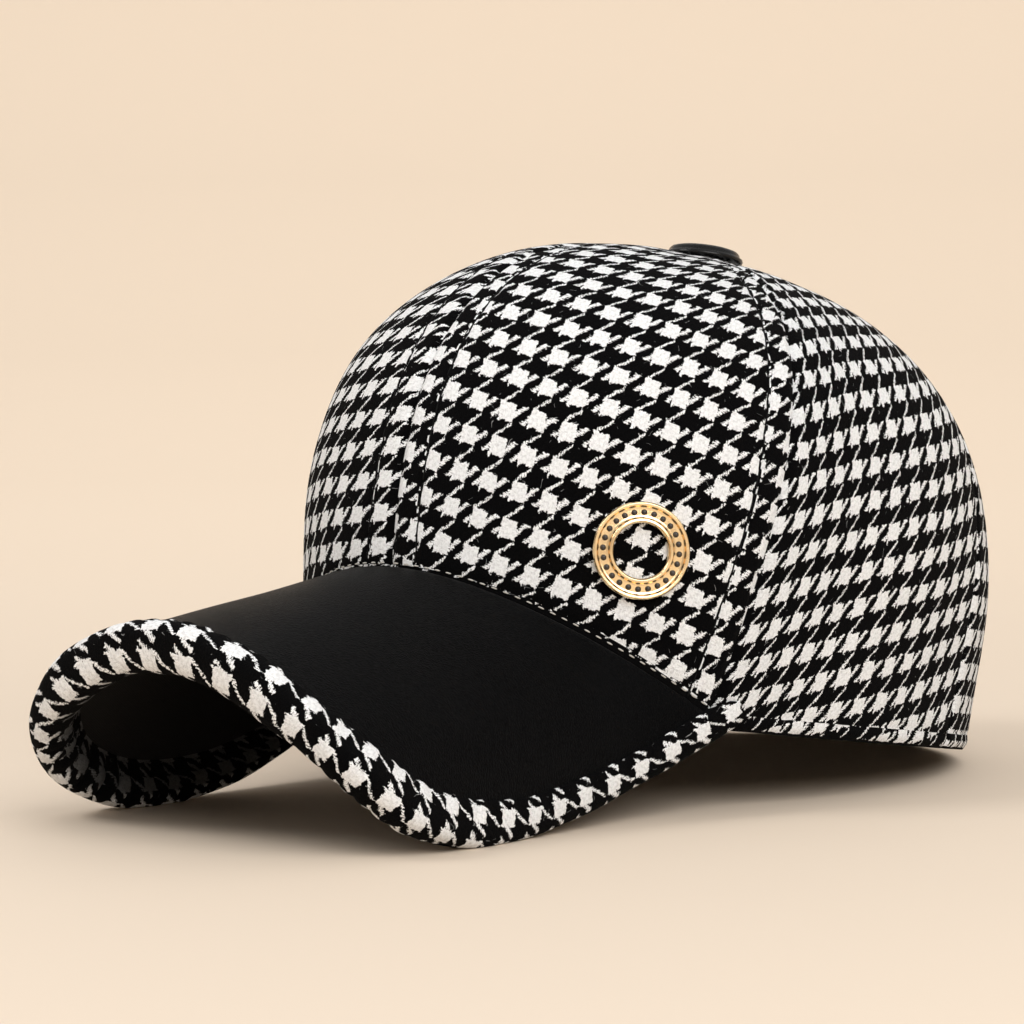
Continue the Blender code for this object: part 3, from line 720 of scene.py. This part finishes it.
def make_leather():
    """Fine-grained black leather with a satin sheen that varies a little."""
    material, tree, shader = new_material("smooth_black_leather")
    flat_map = own_map(tree, "cloth")
    grain = tree.nodes.new("ShaderNodeTexVoronoi")
    grain.feature = "DISTANCE_TO_EDGE"
    grain.inputs["Scale"].default_value = 1500.0
    warp = noise(tree, flat_map, 900.0, output="Color")
    warped = shift_vector(tree, flat_map, warp, 0.0007)
    tree.links.new(warped, grain.inputs["Vector"])
    pebble = calculate(tree, "POWER", calculate(tree, "MULTIPLY", grain.outputs["Distance"], 2.2), 0.5)
    pores = noise(tree, flat_map, 3800.0, 2.0)
    height = calculate(tree, "MULTIPLY_ADD", pores, 0.35, pebble)
    wear = noise(tree, flat_map, 38.0, 4.0)
    roughness = calculate(tree, "MULTIPLY_ADD", wear, 0.16, 0.36)
    tree.links.new(roughness, shader.inputs["Roughness"])
    # the colour is lighter on the raised grain and darker in the hollows between, more so where the noise is
    # high
    raised = calculate(tree, "MULTIPLY", pebble, pores)
    raised_grain_tone = calculate(tree, "MULTIPLY", raised, calculate(tree, "ADD", wear, 0.4))
    tint = blend_colours(tree, raised_grain_tone, (0.0004, 0.0005, 0.0007, 1.0), (0.0070, 0.0072, 0.0078, 1.0))
    tree.links.new(tint, shader.inputs["Base Color"])
    shader.inputs["Specular IOR Level"].default_value = 0.02
    shader.inputs["Sheen Weight"].default_value = 0.03
    shader.inputs["Sheen Roughness"].default_value = 0.4
    add_bump(tree, shader, height, 0.00013)
    return material


def make_lining_cloth():
    """Plain matt black cloth of the visor's lower face, a fine even weave."""
    material, tree, shader = new_material("plain_black_cloth")
    flat_map = own_map(tree, "cloth")
    split = tree.nodes.new("ShaderNodeSeparateXYZ")
    tree.links.new(flat_map, split.inputs[0])
    rate = 2 * pi / 0.0007
    crosswise = calculate(tree, "SINE", calculate(tree, "MULTIPLY", split.outputs["X"], rate))
    lengthwise = calculate(tree, "SINE", calculate(tree, "MULTIPLY", split.outputs["Y"], rate))
    threads = calculate(tree, "MULTIPLY", crosswise, lengthwise)
    fluff = noise(tree, flat_map, 1500.0, 3.0)
    height = calculate(tree, "MULTIPLY_ADD", threads, 0.3, fluff)
    tint = blend_colours(tree, fluff, (0.005, 0.005, 0.005, 1.0), (0.016, 0.015, 0.015, 1.0))
    tree.links.new(tint, shader.inputs["Base Color"])
    shader.inputs["Roughness"].default_value = 0.9
    shader.inputs["Specular IOR Level"].default_value = 0.2
    add_bump(tree, shader, height, 0.00012)
    return material


def upwards(face):
    """How far a visor face looks up and to the outside of its bend."""
    middle = Vector((0.0, face.calc_center_median().y, -0.02))
    return (face.calc_center_median() - middle).normalized().dot(face.normal)


BOARD_LAYERS = [
    {"piece": "leather_cover", "node": "visor_leather", "slot": "black_leather", "material": make_leather(),
     "height": 0.0, "tuck": 0.0009, "wall": LEATHER, "grid": (150, 64), "rests_on": "visor_underside"},
    {"piece": "underside_cloth", "node": "visor_underside", "slot": "black_underside",
     "material": make_lining_cloth(), "height": -LEATHER - LAYER_GAP, "tuck": 0.0, "wall": UNDERSIDE,
     "grid": (120, 40), "rests_on": "leather_cover"},
]
for layer in BOARD_LAYERS:
    bm = sheet_of(*layer["grid"], board_place(layer["height"], layer["tuck"]))
    area = sum(face.calc_area() for face in bm.faces)
    piece = finish_piece(layer["piece"], bm, layer["material"], upwards, layer["node"])
    thicken(piece, layer["wall"], 0.0003)

# ---------------------------------------------------------------- visor's rolled binding
# A strip of the houndstooth cloth is wrapped over the board's padded edge and sewn down along both
# faces. It thins towards the crown, and is drawn together in pleats round the two front corners.
ROLL_RADIUS = 0.0051
ROLL_MIDDLE_HEIGHT = -0.0032
ROLL_SQUARENESS = 0.80
ROLL_FROM, ROLL_TO = radians(146.0), radians(-150.0)
UNDERLAP = 0.0040
BOARD_BOTTOM = -LEATHER - LAYER_GAP - UNDERSIDE
UNDER_FULLNESS = 1.14
TAPER_LENGTH = 0.045
TAPER_TO = 0.55
CORNER_SWELL = 0.15
TIP_SWELL = 0.40
CURVE_MIDDLE = 0.077
CURVE_PINCH = 0.30
OVERLAP_GROWTH = 0.0022
OVERLAP_FROM = (0.045, 0.070)
PALE_DRAWN_IN = 0.020
GATHER_SPREAD = 0.030
GATHER_PITCH = 0.0074
GATHER_DEPTH = 0.0016
# where whole repeats of the strip's cloth fall along the edge, and how far round the roll one row of
# stars lies: the strip is pulled unevenly
CLOTH_REPEATS = [(-0.0620, 0), (-0.0510, 1), (-0.0386, 2), (-0.0261, 3), (-0.0138, 4), (-0.0002, 5),
                 (0.0122, 6), (0.0265, 7), (0.0393, 8), (0.0506, 9), (0.0598, 10), (0.0692, 11),
                 (0.0798, 12), (0.0905, 13), (0.1010, 14), (0.1116, 15), (0.1240, 16), (0.1350, 17),
                 (0.1445, 18)]
END_PITCH = 0.0104
NOSE_ROW_GIRTH = [(-0.062, 0.0157), (0.012, 0.0161), (0.029, 0.0150), (0.050, 0.0132), (0.060, 0.0119),
                  (0.070, 0.0107), (0.080, 0.0095), (0.090, 0.0093), (0.100, 0.0097), (0.110, 0.0105),
                  (0.125, 0.0115), (0.144, 0.0120)]
GIRTH_PITCH = 0.0086
# painted shade: the binding's face under the board is darkened by this share, eased in over this girth round
# the roll and kept to its lower sewn edge, for the shadow under the visor
UNDER_SHADE_STRENGTH = 0.90
UNDER_SHADE_GIRTH = (0.0175, 0.0225)
STAR_MIDDLE = 0.74


def roll_section():
    """Girth, inset and height along the roll's section, from its upper to its lower sewn edge."""
    turn = np.linspace(ROLL_FROM, ROLL_TO, 300)
    c, s = np.cos(turn), np.sin(turn)
    inset = ROLL_RADIUS * (1.0 - np.sign(c) * np.abs(c) ** ROLL_SQUARENESS)
    height = ROLL_MIDDLE_HEIGHT + ROLL_RADIUS * np.sign(s) * np.abs(s) ** ROLL_SQUARENESS
    under = np.linspace(0.0, 1.0, 60)[1:]
    inset = np.concatenate([inset, inset[-1] + UNDERLAP * under])
    level = height[-1] + (BOARD_BOTTOM - 0.0003 - height[-1]) * ease(under, 0.0, 1.0)
    height = np.concatenate([height, level])
    girth = np.concatenate([[0.0], np.cumsum(np.hypot(np.diff(inset), np.diff(height)))])
    return girth, inset, height


roll_girth, roll_inset, roll_height = roll_section()


def binding_place(across, along):
    """Place function of the binding; along runs from its upper to its lower sewn edge."""
    round_it = along * roll_girth[-1]
    inset = np.interp(round_it, roll_girth, roll_inset)
    height = np.interp(round_it, roll_girth, roll_height)
    out_inset = np.interp(round_it, roll_girth, np.gradient(roll_height, roll_girth))
    out_height = -np.interp(round_it, roll_girth, np.gradient(roll_inset, roll_girth))
    samples = np.linspace(0.0, 1.0, 21)
    reach = edge_reach(np.interp(samples * roll_girth[-1], roll_girth, roll_inset),
                       np.interp(samples * roll_girth[-1], roll_girth, roll_height))
    run = (2.0 * across - 1.0) * np.interp(along, samples, reach)
    corner = float(edge_run[np.argmax(edge_across + edge_forward)])
    near_corner = dent(np.abs(run) - corner, 0.030)
    thin = np.clip((edge_half - np.abs(run)) / TAPER_LENGTH, 0.0, 1.0)
    fat = UNDER_FULLNESS * (TAPER_TO + (1.0 - TAPER_TO) * thin) * (1.0 + CORNER_SWELL * near_corner)
    fat = fat * (1.0 + TIP_SWELL * (1.0 - ease(np.abs(run), 0.030, 0.062)))
    fat = fat * (1.0 - CURVE_PINCH * dent(np.abs(run) - CURVE_MIDDLE, 0.018))
    below = height < BOARD_BOTTOM
    height = np.where(below, BOARD_BOTTOM + (height - BOARD_BOTTOM) * fat, height)

    # the upper edge laps farther over the leather along the visor's sides
    lapped = ease(np.abs(run), *OVERLAP_FROM) * (1.0 - ease(round_it, 0.0, 0.0065))
    inset = inset + OVERLAP_GROWTH * lapped
    height = height + 0.0004 * lapped

    # pleats deepen from the nose to the lower sewn edge; small puckers follow the upper one
    below_nose = ease(along, 0.38, 0.72) * (1.0 - 0.6 * ease(along, 0.85, 1.0))
    gathered = dent(np.abs(run) - corner, GATHER_SPREAD) * below_nose
    wander = run + 0.0022 * np.sin(run / 0.013) + 0.0016 * np.sin(run / 0.0056)
    pleat = np.abs(np.sin(np.pi * wander / GATHER_PITCH)) ** 0.55 - 0.7
    pucker = 0.00024 * np.sin(2 * np.pi * run / 0.0062 + 1.5 * np.sin(run / 0.021)) * dent(along - 0.05, 0.09)
    uneven = 0.00020 * np.sin(run / 0.0045 + 2.0 * along) * np.sin(3.1 * along + run / 0.017)
    swell = GATHER_DEPTH * gathered * pleat + pucker + uneven
    inset = inset + swell * out_inset
    height = height + swell * out_height
    flat = edge_point(run, inset)
    points = board_point(flat[..., 0], flat[..., 1], height)
    repeats = np.interp(run, *zip(*CLOTH_REPEATS))
    repeats = repeats + np.minimum(run - CLOTH_REPEATS[0][0], 0.0) / END_PITCH
    repeats = repeats + np.maximum(run - CLOTH_REPEATS[-1][0], 0.0) / END_PITCH
    repeats = repeats + PALE_DRAWN_IN * np.cos(2 * np.pi * (repeats + STAR_MIDDLE))
    nose_row = np.interp(run, *zip(*NOSE_ROW_GIRTH))
    round_repeats = (round_it - OVERLAP_GROWTH * lapped - nose_row) / GIRTH_PITCH
    on_cloth = np.stack([round_repeats, repeats], axis=-1) + STAR_MIDDLE
    unsewn = np.ones_like(on_cloth)
    # the last column is the painted shade of the face under the board
    return points, np.column_stack([REPEAT * on_cloth, unsewn, UNDER_SHADE_STRENGTH * ease(round_it, *UNDER_SHADE_GIRTH)])


def out_of_roll(face):
    """How far a binding face looks away from the middle of the roll below it."""
    return roll_sides[face.index].dot(face.normal)


bm = sheet_of(620, 56, binding_place)
bm.faces.ensure_lookup_table()
bm.faces.index_update()
flat_centre = edge_point(np.array([0.0]), np.array([ROLL_RADIUS]))
roll_middle = at_rest(board_point(flat_centre[:, 0], flat_centre[:, 1], np.array([ROLL_MIDDLE_HEIGHT])))[0]
roll_sides = []
for face in bm.faces:
    centre = face.calc_center_median()
    close = abs(centre.x) < 0.01
    roll_sides.append(centre - Vector(roll_middle) if close else Vector((0, 0, 0)))
piece = finish_piece("binding_roll", bm, houndstooth, out_of_roll, "visor_binding")
thicken(piece, 0.0009, 0.0003)

# ---------------------------------------------------------------- stitches
# Black thread holds the seam allowances beside the front panels' seams, and pale thread the folded
# edge over the visor. Each stitch is a short oval of thread, half sunk in the cloth.
BLACK_THREAD_RADIUS = 0.00018
BLACK_STITCH = (0.0031, 0.0005)
PALE_THREAD_RADIUS = 0.00022
PALE_STITCH = (0.0017, 0.0016)
PALE_STITCH_RISE = 0.0004


def make_thread(name, colour):
    """Twisted polyester thread."""
    material, tree, shader = new_material(name)
    place = object_place(tree)
    fibre = noise(tree, place, 6000.0, 2.0)
    tint = blend_colours(tree, fibre, tuple(0.6 * c for c in colour) + (1.0,), colour + (1.0,))
    tree.links.new(tint, shader.inputs["Base Color"])
    shader.inputs["Roughness"].default_value = 0.75
    shader.inputs["Specular IOR Level"].default_value = 0.15
    add_bump(tree, shader, fibre, 0.00006)
    return material


def stitch_line(name, points, normals, stitch, radius, material):
    """Row of stitches, each with its length and the gap after it, along a line on the upright cap."""
    length, gap = stitch
    points = at_rest(points)
    walked = np.concatenate([[0.0], np.cumsum(np.linalg.norm(np.diff(points, axis=0), axis=1))])
    bm = bmesh.new()
    for start in np.arange(0.0, walked[-1] - length, length + gap):
        ends = [Vector([np.interp(place, walked, points[:, k]) for k in range(3)])
                for place in (start, start + length)]
        up = Vector([np.interp(start + 0.5 * length, walked, normals[:, k]) for k in range(3)])
        along = (ends[1] - ends[0]).normalized()
        up = (up - up.dot(along) * along).normalized()
        turn = Matrix((along, up.cross(along), up)).transposed().to_4x4()
        size = Matrix.Diagonal((0.5 * length, radius, radius, 1.0))
        place = Matrix.Translation(0.5 * (ends[0] + ends[1]))
        bmesh.ops.create_uvsphere(bm, u_segments=8, v_segments=6, radius=1.0,
                                  matrix=place @ turn @ size @ Matrix.Rotation(0.5 * pi, 4, "Y"))
    return finish_piece(name, bm, material, lambda face: 1.0)


black_thread = make_thread("black_thread", (0.004, 0.004, 0.004))
pale_thread = make_thread("pale_thread", (0.62, 0.60, 0.56))


def turned_normals(normals):
    """Normals of the upright cap in its resting pose."""
    c, s = cos(REST_PITCH), sin(REST_PITCH)
    return np.stack([normals[:, 0], normals[:, 1] * c + normals[:, 2] * s,
                     -normals[:, 1] * s + normals[:, 2] * c], axis=-1)


for word, side in (("left", 1.0), ("right", -1.0)):
    mirror = np.array([side, 1.0, 1.0])
    for seam, beside in (("centre_front", 1.0), ("side", -1.0)):
        start = 0.275 if seam == "centre_front" else 0.06
        level = np.linspace(start, 0.985, 400)
        middle = seam_angle(SEAMS[seam], level)
        round_it, _ = crown_slopes(middle, level)
        angle = middle + beside * TOPSTITCH_FROM_SEAM / np.linalg.norm(round_it, axis=-1)
        normal = crown_normal(angle, level)
        relief = soft_waves(side * angle, level) - 0.5 * TOPSTITCH_DEPTH
        line = crown_point(angle, level) + relief[:, None] * normal
        stitch_line(f"topstitch_{seam}_{word}", line * mirror, turned_normals(normal * mirror),
                    BLACK_STITCH, BLACK_THREAD_RADIUS, black_thread)

# the front panels' folded edge is caught down over the visor with a row of short pale stitches
angle = np.linspace(radians(1.0), radians(57.0), 300)
for word, side in (("left", 1.0), ("right", -1.0)):
    level = (np.interp(angle, junction_angle, junction_height) + PALE_STITCH_RISE) / CROWN_HEIGHT
    normal = crown_normal(angle, level)
    line = crown_point(angle, level) + (soft_waves(side * angle, level) + 0.00005)[:, None] * normal
    mirror = np.array([side, 1.0, 1.0])
    stitch_line(f"edge_stitch_{word}", line * mirror, turned_normals(normal * mirror),
                PALE_STITCH, PALE_THREAD_RADIUS, pale_thread)

# ---------------------------------------------------------------- top button
# A turned disc covered in glossy black, with a step round its foot. Its shank goes through the
# eyelet where the six panels meet.
BUTTON_PROFILE = [(0.0019, -0.0030), (0.0019, -0.0002), (0.0100, -0.0002), (0.0110, 0.0002), (0.0112, 0.0008),
                  (0.0110, 0.0014), (0.0104, 0.0017), (0.0102, 0.0020), (0.0100, 0.0026), (0.0094, 0.0032),
                  (0.0080, 0.0036), (0.0050, 0.00385), (0.0, 0.0039)]
BUTTON_SEAT = 0.0004


def turn_profile(profile, steps, merge_distance):
    """Shell turned round Z from radii and heights."""
    bm = bmesh.new()
    chain = [bm.verts.new((radius, 0.0, height)) for radius, height in profile]
    edges = [bm.edges.new(pair) for pair in zip(chain, chain[1:])]
    bmesh.ops.spin(bm, geom=chain + edges, cent=(0, 0, 0), axis=(0, 0, 1), angle=2 * pi, steps=steps,
                   use_merge=True)
    bmesh.ops.remove_doubles(bm, verts=bm.verts, dist=merge_distance)
    bmesh.ops.recalc_face_normals(bm, faces=bm.faces)
    return bm


def make_gloss_black():
    """Glossy black covering with faint scuffs."""
    material, tree, shader = new_material("gloss_black")
    place = object_place(tree)
    scuffs = noise(tree, place, 420.0, 5.0, 0.6)
    roughness = calculate(tree, "MULTIPLY_ADD", scuffs, 0.22, 0.16)
    tree.links.new(roughness, shader.inputs["Roughness"])
    tint = blend_colours(tree, scuffs, (0.002, 0.002, 0.002, 1.0), (0.006, 0.006, 0.006, 1.0))
    tree.links.new(tint, shader.inputs["Base Color"])
    shader.inputs["Specular IOR Level"].default_value = 0.25
    add_bump(tree, shader, noise(tree, place, 900.0, 2.0), 0.00002)
    return material


ahead_and_behind = np.array([0.0, pi])
near_top = halve(lambda level: 0.1 - crown_reach(ahead_and_behind, level), [0.5, 0.5], [1.0, 1.0])
front_top, back_top = at_rest(crown_point(ahead_and_behind, near_top))
ahead = Vector(front_top - back_top).normalized()
side_ways = Vector((1.0, 0.0, 0.0))
button_up = side_ways.cross(-ahead).normalized()
button_up = button_up if button_up.z > 0 else -button_up
button_foot = Vector(at_rest(np.array([[0.0, TOP_SETBACK, CROWN_HEIGHT]]))[0]) + BUTTON_SEAT * button_up
bm = turn_profile(BUTTON_PROFILE, 72, 1e-6)
turn = Matrix((side_ways, ahead, button_up)).transposed().to_4x4()
bmesh.ops.transform(bm, matrix=Matrix.Translation(button_foot) @ turn, verts=bm.verts)
piece = finish_piece("button_disc", bm, make_gloss_black(),
                     lambda face: (face.calc_center_median() - button_foot).dot(face.normal), "top_button")

# ---------------------------------------------------------------- ring ornament
# A plain cast ring in pale gold, with two raised rims and a channel between them that holds a row
# of small dark stones. It is pinned to the left front panel and bent to its curve.
RING_ANGLE = radians(43.0)
RING_LEVEL = 0.334
RING_RADIUS = 0.0098
RING_SECTION = [(-0.0027, 0.0000), (-0.0027, 0.0014), (-0.0023, 0.0020), (-0.0017, 0.0019), (-0.0013, 0.0011),
                (0.0013, 0.0011), (0.0017, 0.0019), (0.0023, 0.0020), (0.0027, 0.0014), (0.0027, 0.0000)]
RING_LIFT = 0.0003
STONES = 24
STONE_RADIUS = 0.00085


def on_panel(out, turn, height):
    """Points at a distance and direction from the ring's middle, at a height over the cloth."""
    step = 1e-3
    here = crown_point(np.array(RING_ANGLE), np.array(RING_LEVEL))
    round_rate = np.linalg.norm(crown_point(np.array(RING_ANGLE + step), np.array(RING_LEVEL)) - here) / step
    up_rate = np.linalg.norm(crown_point(np.array(RING_ANGLE), np.array(RING_LEVEL + step)) - here) / step
    angle = RING_ANGLE + out * np.cos(turn) / round_rate
    level = RING_LEVEL + out * np.sin(turn) / up_rate
    return crown_point(angle, level) + (height + RING_LIFT)[..., None] * crown_normal(angle, level)


def ring_place(across, along):
    """Place function of the ring's face: round it, and over its section."""
    spots = np.linspace(0.0, 1.0, len(RING_SECTION))
    out = RING_RADIUS + np.interp(along, spots, [p[0] for p in RING_SECTION])
    height = np.interp(along, spots, [p[1] for p in RING_SECTION])
    turn = 2 * np.pi * across
    return on_panel(out, turn, height), np.stack([across, along], axis=-1)


def make_gold():
    """Pale gold plating, polished, with faint brushing."""
    material, tree, shader = new_material("pale_gold")
    place = object_place(tree)
    marks = noise(tree, place, 1300.0, 4.0, 0.4)
    roughness = calculate(tree, "MULTIPLY_ADD", marks, 0.18, 0.14)
    tree.links.new(roughness, shader.inputs["Roughness"])
    tint = blend_colours(tree, marks, (0.92, 0.66, 0.36, 1.0), (0.98, 0.79, 0.50, 1.0))
    tree.links.new(tint, shader.inputs["Base Color"])
    shader.inputs["Metallic"].default_value = 1.0
    add_bump(tree, shader, marks, 0.00003)
    return material


bm = sheet_of(96, 4 * (len(RING_SECTION) - 1), ring_place)
bmesh.ops.remove_doubles(bm, verts=bm.verts, dist=1e-6)
ring_outward = Vector(turned_normals(crown_normal(np.array([RING_ANGLE]), np.array([RING_LEVEL])))[0])
piece = finish_piece("ring_face", bm, make_gold(), lambda face: ring_outward.dot(face.normal),
                     "badge_ring")
wall = piece.modifiers.new("wall", "SOLIDIFY")
wall.thickness = 0.0003
wall.offset = -1.0

bm = bmesh.new()
turns = 2 * np.pi * np.arange(STONES) / STONES
seats = at_rest(on_panel(np.full(STONES, RING_RADIUS), turns, np.full(STONES, 0.0012)))
for seat in seats:
    bmesh.ops.create_icosphere(bm, subdivisions=2, radius=STONE_RADIUS,
                               matrix=Matrix.Translation(Vector(seat) - 0.3 * STONE_RADIUS * ring_outward))
stone_material, stone_tree, stone_shader = new_material("dark_stone")
stone_cloud = noise(stone_tree, object_place(stone_tree), 900.0, 2.0)
stone_tint = blend_colours(stone_tree, stone_cloud, (0.010, 0.008, 0.007, 1.0), (0.05, 0.04, 0.035, 1.0))
stone_tree.links.new(stone_tint, stone_shader.inputs["Base Color"])
stone_shader.inputs["Roughness"].default_value = 0.12
finish_piece("ring_stones", bm, stone_material, lambda face: 1.0)

# ---------------------------------------------------------------- floor, lights and camera
# A plain pale floor that rises to a pale backdrop, one soft light from the upper left, a larger one
# from the right and one on the backdrop, and the camera at the height and angle of the photograph.
BACKDROP = [(0.0, 0.0), (0.9, 0.0), (1.3, 0.02), (1.7, 0.09), (2.05, 0.22), (2.3, 0.42),
            (2.45, 0.70), (2.5, 1.1)]
CAMERA_PLACE = Vector((0.67748, -0.79290, 0.13582))
CAMERA_TARGET = Vector((-0.02772, 0.01991, 0.07335))
CAMERA_UP = Vector((-0.03323, 0.04788, 0.99830))
CAMERA_LENS = 135.16

bm = turn_profile(BACKDROP, 96, 1e-5)
if sum(face.normal.z for face in bm.faces) < 0:
    bmesh.ops.reverse_faces(bm, faces=bm.faces)
floor_material, _, floor_shader = new_material("pale_floor")
floor_shader.inputs["Base Color"].default_value = (0.69, 0.585, 0.475, 1.0)
floor_shader.inputs["Roughness"].default_value = 0.7
floor_shader.inputs["Specular IOR Level"].default_value = 0.25
mesh = bpy.data.meshes.new("floor")
bm.to_mesh(mesh)
bm.free()
mesh.shade_smooth()
mesh.materials.append(floor_material)
floor = bpy.data.objects.new("floor", mesh)
bpy.context.collection.objects.link(floor)

world = bpy.data.worlds.new("pale_surround")
bpy.context.scene.world = world
world.use_nodes = True
world.node_tree.nodes["Background"].inputs["Color"].default_value = (1.0, 0.985, 0.97, 1.0)
world.node_tree.nodes["Background"].inputs["Strength"].default_value = 0.65
bpy.context.scene.view_settings.view_transform = "Standard"


def add_light(name, place, target, size, power, colour):
    """Square area light aimed at a target."""
    data = bpy.data.lights.new(name, "AREA")
    data.size = size
    data.energy = power
    data.color = colour
    light = bpy.data.objects.new(name, data)
    light.location = place
    light.rotation_euler = (Vector(target) - Vector(place)).to_track_quat("-Z", "Y").to_euler()
    bpy.context.collection.objects.link(light)


add_light("key", (-0.70, -1.00, 1.20), (0, 0, 0.05), 0.55, 9.6, (1.0, 0.99, 0.975))
add_light("side", (1.25, -0.55, 1.05), (0, 0, 0.05), 1.2, 21.5, (1.0, 0.995, 0.985))
add_light("backdrop_light", (-0.6, 0.75, 1.5), (-1.6, 1.9, 0.35), 1.2, 15.0, (1.0, 0.97, 0.92))

camera_data = bpy.data.cameras.new("camera")
camera_data.lens = CAMERA_LENS
camera_data.sensor_width = 36.0
camera_data.clip_start = 0.02
camera = bpy.data.objects.new("camera", camera_data)
backwards = (CAMERA_PLACE - CAMERA_TARGET).normalized()
rightwards = CAMERA_UP.cross(backwards).normalized()
upright = backwards.cross(rightwards)
aim = Matrix((rightwards, upright, backwards)).transposed().to_4x4()
camera.matrix_world = Matrix.Translation(CAMERA_PLACE) @ aim
bpy.context.collection.objects.link(camera)
bpy.context.scene.camera = camera
